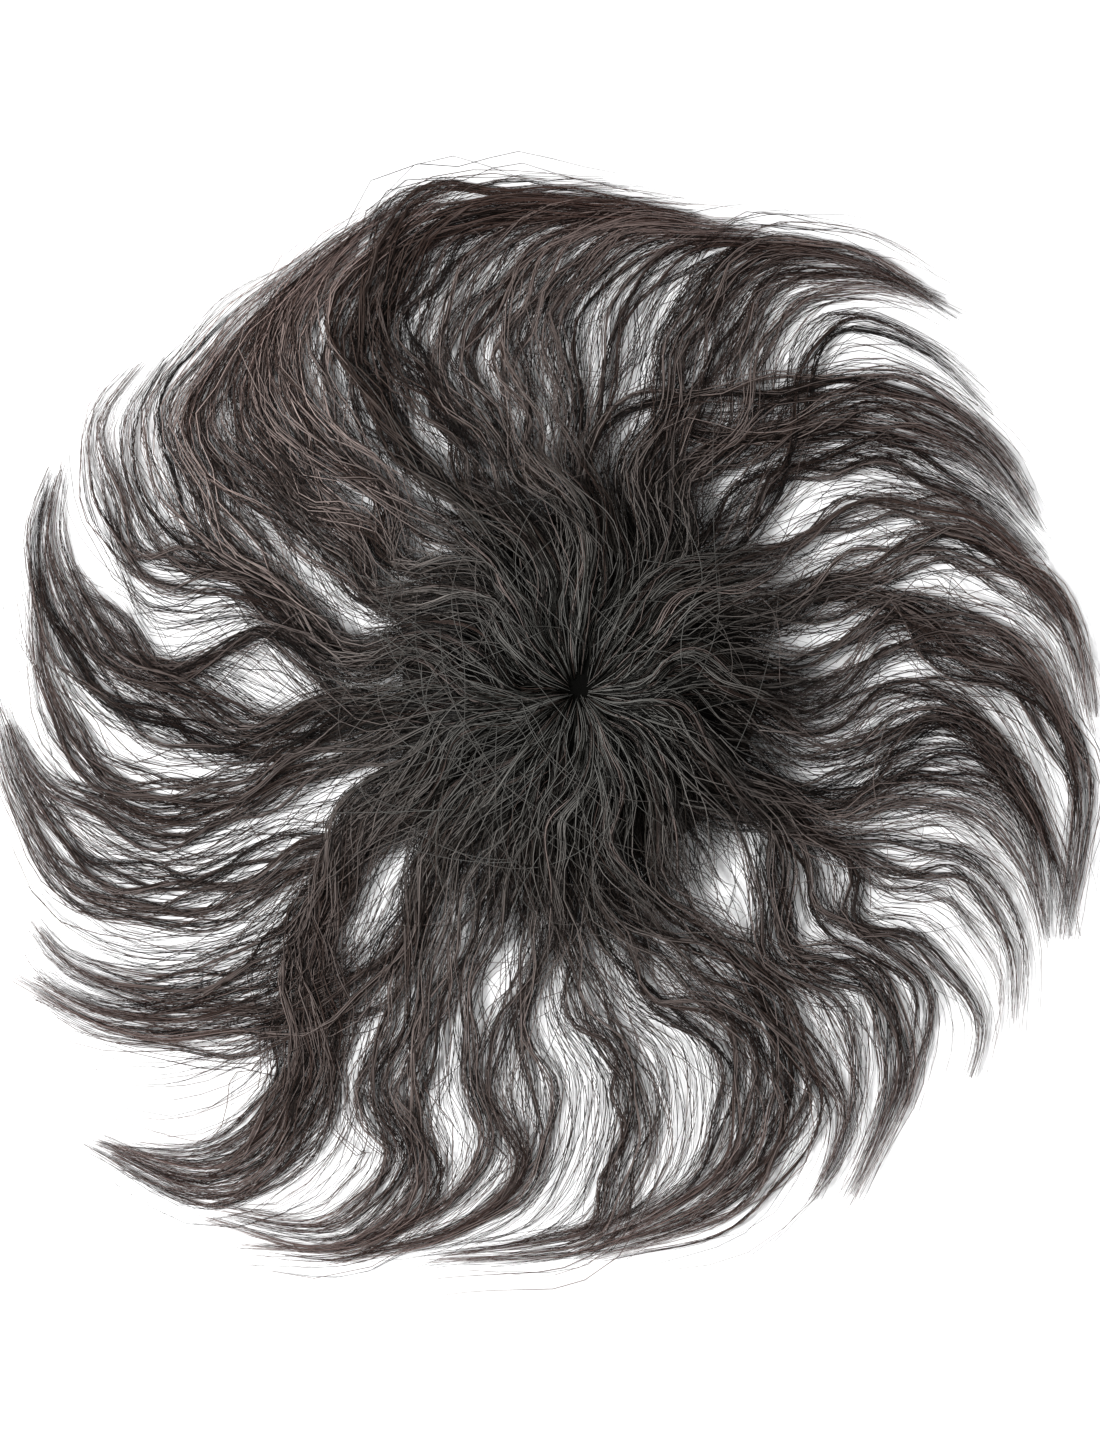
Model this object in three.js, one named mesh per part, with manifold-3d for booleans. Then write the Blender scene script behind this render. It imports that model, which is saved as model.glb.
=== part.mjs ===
// Hair topper laid out flat: a net cap with three comb clips under it, a crown of hair over the cap,
// and a rim weft whose long wavy locks lie out on the table like a pinwheel.
// Millimetres, +Z up, +X to the right and +Y to the top of the layout as it is seen from above.

import * as THREE from "three";
import { mergeVertices } from "three/addons/utils/BufferGeometryUtils.js";
import Module from "manifold-3d";

// Net cap: a shallow dome with a flat ribbon along its rim
const CAP_RADIUS = 64;
const CAP_RISE = 20;
const CAP_WALL = 1.4;
const RIBBON_WIDTH = 8;
const FIT_GAP = 0.4;

// Comb clips under the rim
const CLIP_AZIMUTHS = { clip_top: 90, clip_left: 210, clip_right: 330 };
const CLIP_LENGTH = 30;
const CLIP_DEPTH = 12;
const CLIP_BAR = 4;
const CLIP_THICK = 1.2;
const CLIP_TEETH = 6;
const CLIP_RADIUS = 48;

// Hair
const WEFT_HEIGHT = 8;
const WEFT_RADIUS = 88;
const SEAT_RADIUS = 80;
const CROWN_EDGE = 86;
const ROUND_STEPS = 36;
const LOCK_STEP = 17;
const CROWN_STEPS = 8;

// Height of the crown hair over the table at each distance from the whorl
const CROWN_PROFILE = [
  { out: 0, up: 23.2 },
  { out: 4, up: 23.8 },
  { out: 9, up: 26.5 },
  { out: 16, up: 30 },
  { out: 26, up: 32.6 },
  { out: 38, up: 32.8 },
  { out: 50, up: 30.4 },
  { out: 62, up: 25.4 },
  { out: 75, up: 18 },
  { out: CROWN_EDGE, up: 10.5 },
];

// Long locks, clockwise from the top. "root" is the angle at which a lock leaves the weft, and the other
// stations are [angle in degrees, distance from the whorl]. "wide" is the full width at the middle.
const RIM_COLUMNS = ["root", "lift", "wave", "bend", "sweep", "tip", "wide"];
const RIM_LOCKS = {
  top_edge: [130, [128, 112], [123, 148], [110, 178], [97, 176], [75, 175], 18],
  top_a: [121, [119, 103], [121, 140], [115, 155], [103, 171], [83, 175], 16],
  top_b: [109, [110, 102], [112, 126], [105, 146], [94, 167], [75, 176], 20],
  top_c: [100, [101, 98], [102, 118], [98, 139], [87, 165], [70, 176], 18],
  top_d: [92, [92, 98], [94, 121], [91, 141], [84, 162], [67, 176], 16],
  top_e: [87, [86, 99], [84, 119], [82, 143], [75, 165], [59, 183], 13],
  ne_edge: [77, [75, 104], [74, 135], [71, 162], [60, 183], [44, 191], 11],
  ne_a: [71, [69, 112], [69, 137], [67, 163], [58, 181], [47, 192], 16],
  ne_b: [62, [60, 119], [63, 142], [61, 162], [54, 180], [45, 193], 11],
  ne_arch: [42, [52, 130], [55, 143], [54, 163], [44, 175], [32, 180], 6],
  e_a: [66, [56, 107], [49, 133], [42, 154], [31, 169], [18, 177], 17],
  e_b: [49, [47, 104], [44, 119], [35, 141], [24, 160], [14, 175], 10],
  e_c: [35, [35, 100], [33, 116], [28, 139], [19, 160], [6, 182], 14],
  e_d: [22, [24, 100], [22, 132], [18, 154], [8, 175], [354, 186], 20],
  e_e: [20, [17, 114], [8, 132], [2, 159], [351, 182], [331, 198], 12],
  se_a: [345, [348, 97], [351, 109], [357, 130], [348, 160], [337, 193], 10],
  se_b: [334, [341, 103], [351, 118], [353, 141], [344, 173], [333, 199], 12],
  se_c: [328, [334, 97], [340, 110], [347, 129], [345, 163], [330, 195], 12],
  se_d: [321, [329, 110], [332, 133], [335, 150], [330, 180], [321, 201], 8],
  se_f: [326, [327, 114], [320, 129], [323, 152], [320, 187], [312, 203], 6],
  s_a: [320, [315, 100], [309, 120], [315, 150], [309, 180], [296, 211], 14],
  s_b: [299, [303, 124], [302, 153], [302, 176], [298, 192], [293, 203], 12],
  s_c: [281, [294, 107], [299, 135], [297, 166], [286, 191], [268, 205], 18],
  s_d: [276, [282, 111], [291, 127], [291, 154], [285, 179], [271, 202], 12],
  s_e: [267, [271, 113], [278, 140], [276, 166], [272, 194], [254, 213], 16],
  s_f: [259, [260, 119], [265, 146], [265, 170], [258, 197], [245, 228], 11],
  s_h: [249, [250, 119], [254, 143], [258, 162], [256, 188], [246, 221], 11],
  sw_a: [243, [246, 130], [248, 163], [253, 182], [249, 215], [238, 236], 14],
  sw_b: [231, [241, 128], [243, 162], [249, 179], [246, 212], [234, 232], 16],
  sw_c: [206, [223, 127], [232, 152], [237, 180], [234, 222], [221, 242], 18],
  w_a: [234, [228, 150], [223, 180], [219, 203], [213, 216], [208, 224], 17],
  w_b: [227, [223, 134], [220, 166], [215, 189], [208, 207], [202, 209], 13],
  w_c: [215, [210, 135], [208, 163], [201, 191], [191, 204], [180, 212], 17],
  w_e: [192, [195, 127], [195, 152], [189, 177], [179, 192], [167, 201], 9],
  w_f: [185, [188, 120], [182, 150], [175, 178], [165, 199], [155, 205], 20],
  nw_a: [174, [162, 133], [164, 165], [158, 184], [151, 200], [142, 198], 8],
  nw_b: [172, [162, 114], [152, 155], [146, 172], [136, 178], [120, 178], 17],
  nw_c: [156, [145, 101], [141, 132], [135, 158], [127, 175], [114, 184], 18],
  nw_d: [145, [136, 95], [133, 131], [129, 157], [121, 174], [108, 185], 20],
};

// Short locks that lie over the crown from the whorl outwards
const CROWN_COLUMNS = ["root", "lift", "wave", "bend", "sweep", "tip", "wide"];
const CROWN_LOCKS = {
  crown_ne: [[10, 9], [32, 18], [41, 33], [39, 51], [31, 72], [19, 99], 16],
  crown_e: [[0, 9], [13, 20], [17, 35], [10, 50], [0, 70], [352, 94], 15],
  crown_ese: [[335, 9], [345, 17], [351, 30], [346, 46], [336, 66], [328, 92], 15],
  crown_se: [[308, 9], [321, 19], [319, 33], [312, 50], [308, 70], [312, 95], 16],
  crown_sse: [[290, 9], [297, 22], [293, 35], [285, 50], [287, 74], [294, 98], 16],
  crown_s: [[277, 9], [282, 21], [269, 34], [257, 50], [261, 72], [271, 99], 17],
  crown_ssw: [[255, 9], [245, 23], [245, 38], [242, 55], [245, 78], [250, 104], 17],
  crown_sw: [[241, 9], [231, 23], [225, 46], [219, 65], [222, 84], [229, 106], 17],
  crown_wsw: [[225, 9], [210, 23], [203, 37], [201, 54], [207, 76], [206, 103], 17],
  crown_w: [[209, 9], [195, 22], [190, 38], [190, 57], [191, 78], [188, 102], 16],
  crown_wnw: [[180, 9], [178, 18], [161, 32], [158, 48], [166, 72], [172, 98], 16],
  crown_nw: [[157, 9], [156, 18], [141, 31], [139, 47], [146, 70], [155, 97], 17],
  crown_nnw: [[130, 9], [122, 23], [121, 42], [124, 61], [132, 80], [137, 103], 17],
  crown_n: [[101, 9], [102, 21], [83, 36], [86, 52], [100, 70], [116, 100], 17],
  crown_nne: [[74, 9], [67, 24], [67, 39], [78, 56], [87, 76], [94, 99], 16],
  crown_ene: [[45, 9], [55, 26], [51, 46], [57, 66], [66, 82], [70, 103], 16],
};

const wasm = await Module();
wasm.setup();

const CAP_SPHERE = (CAP_RADIUS ** 2 + CAP_RISE ** 2) / (2 * CAP_RISE);
const CAP_CENTRE = CAP_RISE - CAP_SPHERE;

// Turns three.js geometry into a closed solid that can be joined and cut
function solidOf(geometry) {
  const bare = geometry.clone();
  bare.deleteAttribute("normal");
  bare.deleteAttribute("uv");
  const welded = mergeVertices(bare, 1e-4);
  const mesh = new wasm.Mesh({
    numProp: 3,
    vertProperties: Float32Array.from(welded.attributes.position.array),
    triVerts: Uint32Array.from(welded.index.array),
  });
  mesh.merge();
  return new wasm.Manifold(mesh);
}

function geometryOf(solid) {
  const mesh = solid.getMesh();
  const geometry = new THREE.BufferGeometry();
  geometry.setAttribute("position", new THREE.Float32BufferAttribute(mesh.vertProperties, 3));
  geometry.setIndex(new THREE.Uint32BufferAttribute(mesh.triVerts, 1));
  geometry.computeVertexNormals();
  return geometry;
}

// A profile of [out, up] pairs turned about the upright axis through the whorl
function turned(profile) {
  const points = profile.map(([out, up]) => new THREE.Vector2(out, up));
  const geometry = new THREE.LatheGeometry(points, ROUND_STEPS);
  geometry.rotateX(Math.PI / 2);
  return geometry;
}

// Points of a round dome about the cap's centre, from one distance out to another
function domeArc(radius, from, to, count) {
  const arc = [];
  for (let i = 0; i <= count; i += 1) {
    const out = from + ((to - from) * i) / count;
    arc.push([out, CAP_CENTRE + Math.sqrt(radius ** 2 - out ** 2)]);
  }
  return arc;
}

function domeOut(radius, up) {
  return Math.sqrt(radius ** 2 - (up - CAP_CENTRE) ** 2);
}

function netCap() {
  const inner = CAP_SPHERE - CAP_WALL;
  const ribbonIn = CAP_RADIUS - RIBBON_WIDTH;
  const profile = [
    ...domeArc(inner, 0, domeOut(inner, CAP_WALL), 7),
    [ribbonIn, CAP_WALL],
    [ribbonIn, 0],
    [CAP_RADIUS, 0],
    ...domeArc(CAP_SPHERE, CAP_RADIUS - 0.8, 0, 8),
  ];
  return turned(profile);
}

// A straight bar with teeth that point to the crown, lying against the inside of the cap
function combClip(azimuth) {
  const shape = new THREE.Shape();
  const half = CLIP_LENGTH / 2;
  const pitch = CLIP_LENGTH / (CLIP_TEETH * 2 - 1);
  shape.moveTo(-half, -CLIP_DEPTH / 2);
  shape.lineTo(half, -CLIP_DEPTH / 2);
  for (let tooth = 0; tooth < CLIP_TEETH; tooth += 1) {
    const right = half - tooth * 2 * pitch;
    shape.lineTo(right, CLIP_DEPTH / 2);
    shape.lineTo(right - pitch, CLIP_DEPTH / 2);
    if (tooth < CLIP_TEETH - 1) {
      shape.lineTo(right - pitch, CLIP_BAR - CLIP_DEPTH / 2);
      shape.lineTo(right - 2 * pitch, CLIP_BAR - CLIP_DEPTH / 2);
    }
  }
  shape.closePath();
  const geometry = new THREE.ExtrudeGeometry(shape, { depth: CLIP_THICK, bevelEnabled: false });
  const inner = CAP_SPHERE - CAP_WALL;
  const reach = Math.hypot(half, CLIP_DEPTH / 2);
  const seat = Math.sqrt(inner ** 2 - reach ** 2) - FIT_GAP;
  const tilt = Math.asin(CLIP_RADIUS / seat);
  geometry.translate(0, 0, seat - CLIP_THICK);
  geometry.rotateX(tilt);
  geometry.translate(0, 0, CAP_CENTRE);
  geometry.rotateZ(THREE.MathUtils.degToRad(azimuth + 90));
  return geometry;
}

function stationPoint([angle, out]) {
  const turn = THREE.MathUtils.degToRad(angle);
  return new THREE.Vector3(out * Math.cos(turn), out * Math.sin(turn), 0);
}

function crownHeight(out) {
  for (let i = 1; i < CROWN_PROFILE.length; i += 1) {
    const low = CROWN_PROFILE[i - 1];
    const high = CROWN_PROFILE[i];
    if (out <= high.out) {
      return THREE.MathUtils.mapLinear(out, low.out, high.out, low.up, high.up);
    }
  }
  return CROWN_PROFILE[CROWN_PROFILE.length - 1].up;
}

// Section of one lock: flat below and rounded above, one unit wide and one unit tall
function lockSection() {
  const section = new THREE.Shape();
  section.moveTo(-0.5, 0);
  section.lineTo(0.5, 0);
  section.lineTo(0.2, 1);
  section.lineTo(-0.2, 1);
  section.closePath();
  return section;
}

// Share of the full width along a lock: gathered at the root and drawn in from the middle to the tip
function lockTaper(along, rootShare, tipShare) {
  const gather = THREE.MathUtils.lerp(rootShare, 1, THREE.MathUtils.smoothstep(along, 0, 0.3));
  const thin = THREE.MathUtils.lerp(1, tipShare, THREE.MathUtils.smoothstep(along, 0.45, 1.02));
  return gather * thin;
}

// Sweeps the lock section along a curve in plan; breadth, bed and tall give its width, underside and depth
function lockGeometry(curve, steps, breadth, bed, tall) {
  const geometry = new THREE.ExtrudeGeometry(lockSection(), { depth: 1, steps, bevelEnabled: false });
  const position = geometry.attributes.position;
  for (let i = 0; i < position.count; i += 1) {
    const along = THREE.MathUtils.clamp(position.getZ(i), 0, 1);
    const middle = curve.getPointAt(along);
    const tangent = curve.getTangentAt(along);
    const across = position.getX(i) * breadth(along);
    const x = middle.x - tangent.y * across;
    const y = middle.y + tangent.x * across;
    const up = bed(Math.hypot(x, y), along) + position.getY(i) * tall(along);
    position.setXYZ(i, x, y, up);
  }
  return geometry;
}

function planCurve(stations) {
  return new THREE.CatmullRomCurve3(stations.map(stationPoint), false, "centripetal");
}

function named(columns, row) {
  return Object.fromEntries(columns.map((column, i) => [column, row[i]]));
}

function rimLock(row) {
  const lock = named(RIM_COLUMNS, row);
  const curve = planCurve([[lock.root, SEAT_RADIUS], lock.lift, lock.wave, lock.bend, lock.sweep, lock.tip]);
  const steps = Math.round(curve.getLength() / LOCK_STEP);
  const breadth = (along) => lock.wide * lockTaper(along, 0.75, 0.1);
  const tall = (along) => THREE.MathUtils.lerp(WEFT_HEIGHT - 0.6, 1.6, along ** 0.8);
  return lockGeometry(curve, steps, breadth, () => 0, tall);
}

function crownLock(row) {
  const lock = named(CROWN_COLUMNS, row);
  const curve = planCurve([lock.root, lock.lift, lock.wave, lock.bend, lock.sweep, lock.tip]);
  const lowest = WEFT_HEIGHT + FIT_GAP + 0.1;
  const breadth = (along) => lock.wide * lockTaper(along, 0.3, 0.2);
  const bed = (out) => Math.max(crownHeight(out) - 1.6, lowest);
  const tall = (along) => THREE.MathUtils.lerp(5.4, 3, along);
  return lockGeometry(curve, CROWN_STEPS, breadth, bed, tall);
}

function rimLocks() {
  const outer = CAP_SPHERE + FIT_GAP;
  const profile = [
    ...domeArc(outer, domeOut(outer, WEFT_HEIGHT), domeOut(outer, 0), 3),
    [WEFT_RADIUS + 4, 0],
    [WEFT_RADIUS + 3, WEFT_HEIGHT - 3],
    [WEFT_RADIUS, WEFT_HEIGHT],
    [domeOut(outer, WEFT_HEIGHT), WEFT_HEIGHT],
  ];
  const weft = solidOf(turned(profile));
  const locks = Object.values(RIM_LOCKS).map((row) => solidOf(rimLock(row)));
  return geometryOf(wasm.Manifold.union([weft, ...locks]));
}

function crownHair() {
  const outer = CAP_SPHERE + FIT_GAP;
  const bottom = WEFT_HEIGHT + FIT_GAP;
  const profile = [
    ...domeArc(outer, 0, domeOut(outer, bottom), 6),
    [CROWN_EDGE, bottom],
    ...CROWN_PROFILE.map(({ out, up }) => [out, up]).reverse(),
  ];
  const shell = solidOf(turned(profile));
  const locks = Object.values(CROWN_LOCKS).map((row) => solidOf(crownLock(row)));
  return geometryOf(wasm.Manifold.union([shell, ...locks]));
}

const part = new THREE.Group();
part.name = "hair_topper";

function add(name, geometry, colour, roughness, metalness = 0) {
  const material = new THREE.MeshStandardMaterial({ color: colour, roughness, metalness });
  const mesh = new THREE.Mesh(geometry, material);
  mesh.name = name;
  part.add(mesh);
}

add("base_cap", netCap(), 0x2a2522, 0.9);
add("crown_hair", crownHair(), 0x3b342e, 0.5);
add("rim_locks", rimLocks(), 0x3f342d, 0.5);
for (const [name, azimuth] of Object.entries(CLIP_AZIMUTHS)) {
  add(name, combClip(azimuth), 0x1c1b1b, 0.35, 1);
}

// The origin is the middle of the outline, on the table
const box = new THREE.Box3().setFromObject(part);
const middle = box.getCenter(new THREE.Vector3());
for (const mesh of part.children) {
  mesh.geometry.translate(-middle.x, -middle.y, 0);
}

export default part;
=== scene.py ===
"""Dresses the hair topper: net base, crown hair, long wavy locks, veil strands, and a plain studio stage."""

import math
from collections import namedtuple

import bmesh
import bpy
import numpy as np
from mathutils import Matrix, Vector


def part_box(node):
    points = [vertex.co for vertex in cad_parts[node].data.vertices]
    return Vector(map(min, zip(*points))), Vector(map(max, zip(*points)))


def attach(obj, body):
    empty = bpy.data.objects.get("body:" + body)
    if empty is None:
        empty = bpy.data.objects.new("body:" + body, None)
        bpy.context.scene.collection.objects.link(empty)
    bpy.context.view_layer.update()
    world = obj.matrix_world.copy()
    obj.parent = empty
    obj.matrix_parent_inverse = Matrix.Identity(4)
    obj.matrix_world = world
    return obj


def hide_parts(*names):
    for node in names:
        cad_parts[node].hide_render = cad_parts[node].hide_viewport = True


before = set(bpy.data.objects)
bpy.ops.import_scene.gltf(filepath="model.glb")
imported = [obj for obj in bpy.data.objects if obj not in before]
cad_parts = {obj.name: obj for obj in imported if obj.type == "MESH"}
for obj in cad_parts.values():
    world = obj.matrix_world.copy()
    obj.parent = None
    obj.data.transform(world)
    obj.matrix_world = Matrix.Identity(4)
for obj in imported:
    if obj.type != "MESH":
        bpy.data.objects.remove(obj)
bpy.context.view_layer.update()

bl_info = {
    "name": "Hair Topper",
    "version": (1, 0, 0),
    "blender": (4, 5, 0),
    "location": "View3D > Sidebar > Topper",
    "description": "Builds a laid-out hair topper with strand hair on a net base",
    "category": "Object",
}

MM = 0.001
SEED = 27

# Points along a lock's middle line before its strands are cut to their own lengths, and steps in which the
# line is measured before those points are spaced evenly
FINE = 90
LINE_STEPS = 240

# Distance from the whorl at which the long locks leave the base, the distances at which they follow the
# crown's flow before that, and how far round, in degrees, each crown lock is felt there
LEAVE = 80
FOLLOW = (12, 26, 42, 60)
FELT = 13

# Size of the whorl's hole against the roots of the crown locks
HOLE = 0.74

# Points of a spun shape that are closer than this, in millimetres, are one
WELD = 0.001

# A full turn in radians, rounded up
FULL_TURN = 6.3

# Ranges of the shades of light and dark strands against the hair's own colour, and how grey the lightest are
LIGHT_SHADES = (1.8, 4.4)
DARK_SHADES = (0.05, 0.6)
PALE = 0.52

# The whorl is over the middle of the cap
CAP_LOW, CAP_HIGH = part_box("base_cap")
WHORL = ((CAP_LOW[0] + CAP_HIGH[0]) / 2, (CAP_LOW[1] + CAP_HIGH[1]) / 2)
CAP_RADIUS = (CAP_HIGH[0] - CAP_LOW[0]) / 2 / MM
CAP_RISE = (CAP_HIGH[2] - CAP_LOW[2]) / MM

# Heights in millimetres by the distance from the whorl: the top of the hair, and the cap or table under it
TOP_OUT = (0, 4, 9, 16, 26, 38, 50, 62, 75, 86, 100, 120, 150, 190, 250)
TOP_UP = (21.6, 23.4, 26.5, 30, 32.6, 32.8, 30.4, 25.4, 18, 12.5, 9.6, 8, 6.2, 4.6, 2.8)
LOW_OUT = (0, 20, 40, 52, 64, 80, 96, 115, 140, 260)
LOW_UP = (21, 19.4, 13.8, 8.4, 3.4, 1.8, 1.2, 0.8, 0.45, 0.35)

# Share of a lock's width by the distance from the whorl: it gathers where it leaves the base, then fans out
GATHER_OUT = (10, 55, 82, 106, 150)
GATHER = (0.12, 0.7, 0.55, 0.6, 1.05)

# The same for a crown lock, which is full over the middle of the cap
CROWN_OUT = (4, 12, 40, 66, 96)
CROWN_FULL = (0.25, 0.6, 1, 0.9, 0.5)

LOCK_COLUMNS = "name root lift wave bend sweep tip wide dense veil tight light"
Lock = namedtuple("Lock", LOCK_COLUMNS, defaults=(1.0, 1.0))

# Long locks, clockwise from the top. root is the angle at which a lock leaves the base, and the other
# stations are (angle in degrees, millimetres from the whorl). wide is in millimetres, dense is how full the
# lock is, and veil how much loose hair lies between it and the next one. tight is its width where it leaves
# the base, and light its shade beyond the base, both against the usual one; light paints sheen on the locks
# where it is above one and shade where it is below one.
RIM_LOCKS = (
    Lock("top", 124, (125.5, 109), (123.5, 146), (110, 178), (97, 176), (75, 175), 20, 1.6, 0.8, 0.5, 0.5),
    Lock("top_a", 117, (116, 103), (117.5, 140), (113, 156), (103, 171), (83, 175), 18, 0.8, 1.0, 0.5, 0.65),
    Lock("top_b", 109, (110, 102), (112, 126), (105, 146), (94, 167), (75, 176), 20, 0.7, 1.1, 1.0, 1.4),
    Lock("top_c", 100, (101, 98), (102, 118), (98, 139), (87, 165), (70, 176), 18, 0.55, 1.1, 1.0, 1.2),
    Lock("top_d", 92, (92, 98), (94, 121), (91, 141), (84, 162), (67, 176), 16, 0.35, 1.1, 1.0, 1.2),
    Lock("top_e", 87, (86, 99), (84, 119), (82, 143), (75, 165), (59, 183), 13, 0.3, 1.2),
    Lock("ne_edge", 77, (75, 104), (74, 135), (71, 162), (60, 183), (44, 191), 11, 0.4, 1.1),
    Lock("ne_a", 71, (69, 112), (69, 137), (67, 163), (58, 181), (47, 192), 16, 0.45, 1.1),
    Lock("ne_b", 62, (60, 119), (63, 142), (61, 162), (54, 180), (45, 193), 11, 0.3, 1.0),
    Lock("ne_arch", 42, (52, 130), (55, 143), (54, 163), (44, 175), (32, 180), 5, 0.6, 0.3),
    Lock("e_up", 90, (77, 107), (62, 120), (47, 152), (35, 169), (22, 178), 8, 0.55, 0.6),
    Lock("e_twist", 74, (70, 101), (58, 106), (44, 134), (31, 160), (20, 172), 6, 0.7, 0.4),
    Lock("e_a", 66, (56, 107), (49, 133), (42, 154), (31, 169), (18, 177), 17, 0.8, 0.7),
    Lock("e_b", 49, (47, 104), (44, 119), (35, 141), (24, 160), (14, 175), 14, 0.5, 0.7),
    Lock("e_c", 35, (35, 100), (33, 116), (28, 139), (19, 160), (6, 182), 13, 0.5, 0.7),
    Lock("e_d", 22, (24, 100), (22, 132), (18, 154), (8, 175), (354, 186), 16, 0.7, 0.5),
    Lock("e_e", 20, (17, 115), (7.5, 127), (0, 158), (351, 181), (331, 198), 10, 1.0, 0.5),
    Lock("e_g", 9, (11, 100), (15, 118), (12, 139), (3, 165), (348, 186), 11, 0.3, 0.4),
    Lock("e_f", 358, (3, 96), (9, 112), (9, 128), (3, 157), (352, 181), 12, 0.2, 0.6),
    Lock("e_h", 351, (354.5, 94), (0.5, 110), (1, 127), (354, 153), (341, 178), 11, 0.1, 0.7),
    Lock("se_a", 345, (348, 97), (351, 109), (357, 130), (348, 160), (337, 193), 12, 0.05, 0.8),
    Lock("se_b", 336, (341, 103), (351, 118), (353, 141), (344, 173), (333, 199), 12, 0.1, 0.8),
    Lock("se_c", 333, (334, 97), (340, 110), (347, 129), (345, 163), (330, 195), 12, 0.1, 0.8),
    Lock("se_g", 331, (335, 107), (340, 122), (343, 139), (339, 168), (331, 193), 10, 0.1, 0.8),
    Lock("se_d", 328.5, (329, 110), (332, 133), (335, 150), (330, 180), (321, 201), 10, 0.4, 1.0),
    Lock("se_f", 330, (327, 114), (320, 129), (323, 152), (320, 187), (312, 203), 6, 0.45, 0.9),
    Lock("se_e", 327.5, (323.5, 102), (317, 116), (319, 141), (319, 164), (306, 194), 6, 0.5, 0.5),
    Lock("s_a", 326.5, (316.5, 99), (309, 120), (315, 150), (309, 180), (296, 211), 14, 0.7, 0.45, 0.7),
    Lock("s_i", 317, (311, 97), (304, 117), (309, 146), (304, 176), (294, 204), 4, 0.1, 0.3),
    Lock("s_b", 293, (303, 124), (302, 153), (302, 176), (298, 192), (293, 203), 12, 0.5, 0.8, 1.4),
    Lock("s_c", 281, (294, 107), (299, 135), (297, 166), (286, 191), (268, 205), 20, 1.0, 0.8, 1.5),
    Lock("s_d", 276, (282, 111), (291, 127), (291, 154), (285, 179), (271, 202), 12, 0.5, 1.4, 1.3),
    Lock("s_e", 267, (271, 113), (278, 140), (276, 166), (272, 194), (254, 213), 14, 0.6, 1.5, 1.4),
    Lock("s_f", 259, (260, 119), (265, 146), (265, 170), (258, 197), (245, 228), 7, 0.25, 0.9, 1.6),
    Lock("s_g", 266, (257, 127), (257, 148), (263, 169), (259, 195), (247, 221), 4, 0.4, 0.6, 1.6),
    Lock("s_h", 249, (250, 119), (254, 143), (258, 162), (256, 188), (246, 221), 6, 0.35, 0.8, 1.8),
    Lock("sw_a", 243, (246, 130), (248, 163), (253, 182), (249, 215), (238, 236), 11, 0.4, 1.0, 1.6),
    Lock("sw_b", 231, (241, 128), (243, 162), (249, 179), (246, 212), (234, 232), 16, 0.6, 1.1, 1.4),
    Lock("sw_c", 206, (223, 127), (232, 152), (237, 180), (234, 222), (221, 242), 22, 1.2, 0.9),
    Lock("sw_d", 209, (216, 116), (227, 148), (234, 182), (231, 215), (224, 237), 14, 0.7, 1.0, 0.6),
    Lock("w_a", 227, (235, 117), (232, 143), (224, 172), (215, 207), (206.5, 228), 19, 1.0, 1.1, 0.5, 0.85),
    Lock("w_b", 213, (218.5, 120), (220.5, 147), (216, 182), (208, 208), (200, 216), 15, 0.8, 1.0, 0.6, 0.85),
    Lock("w_c", 215, (210, 135), (208, 163), (201, 191), (191, 204), (180, 212), 19, 0.9, 1.3, 1.0, 0.8),
    Lock("w_d", 197, (199, 130), (200, 155), (194, 176), (190, 194), (181, 209), 12, 0.6, 0.9, 1.0, 0.75),
    Lock("w_e", 192, (195, 127), (195, 152), (189, 177), (179, 192), (167, 201), 14, 0.6, 0.9, 1.0, 0.75),
    Lock("w_f", 185, (188, 120), (182, 150), (175, 178), (165, 199), (155, 205), 24, 1.1, 2.0, 1.0, 0.75),
    Lock("w_wave", 187, (169, 115), (175, 132), (178, 149), (171, 166), (168, 193), 7, 0.7, 1.2, 1.0, 0.75),
    Lock("nw_a", 174, (162, 133), (164, 165), (158, 184), (151, 200), (142, 198), 13, 0.4, 0.9, 1.0, 1.15),
    Lock("nw_h", 170, (161, 124), (160, 150), (156, 170), (149, 186), (140, 190), 11, 0.35, 0.9, 1.0, 1.15),
    Lock("nw_b", 172, (162, 114), (152, 155), (146, 172), (136, 178), (116, 183), 20, 0.65, 1.5, 0.75, 2.0),
    Lock("nw_c", 156, (145, 101), (141, 132), (135, 158), (127, 175), (110, 189), 18, 0.5, 1.1, 0.6, 2.0),
    Lock("nw_g", 157, (153, 101), (150, 119), (149, 143), (145, 168), (134, 178), 14, 0.5, 0.7, 0.8, 1.9),
    Lock("nw_f", 145, (144, 104), (146, 122), (144, 142), (137, 164), (124, 177), 12, 0.4, 0.6, 0.6, 1.9),
    Lock("nw_e", 134, (134, 96), (138, 122), (136, 149), (130, 168), (116, 180), 13, 0.4, 0.6, 0.7, 1.9),
    Lock("nw_d", 145, (136, 95), (133, 131), (129, 157), (121, 174), (103, 189), 20, 0.6, 1.0, 0.75, 1.7),
)
SECTORS = {"top": (0, 13), "right": (13, 27), "bottom": (27, 41), "left": (41, 55)}

Flow = namedtuple("Flow", "size reach apart fade loose")

# How the wisps of a lock wave: ranges of size and wave length in millimetres, how far their phases differ,
# the shares of the length between which the waves die out, and the share of strands that belong to no wisp.
RIM_FLOW = Flow((1.6, 4.2), (36, 58), 0.9, (0.55, 0.9), 0.3)
CROWN_FLOW = Flow((0.8, 2.4), (34, 52), 0.35, (0.9, 1.4), 0.14)

CrownLock = namedtuple("CrownLock", "name root lift wave bend sweep tip wide lie")
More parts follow.
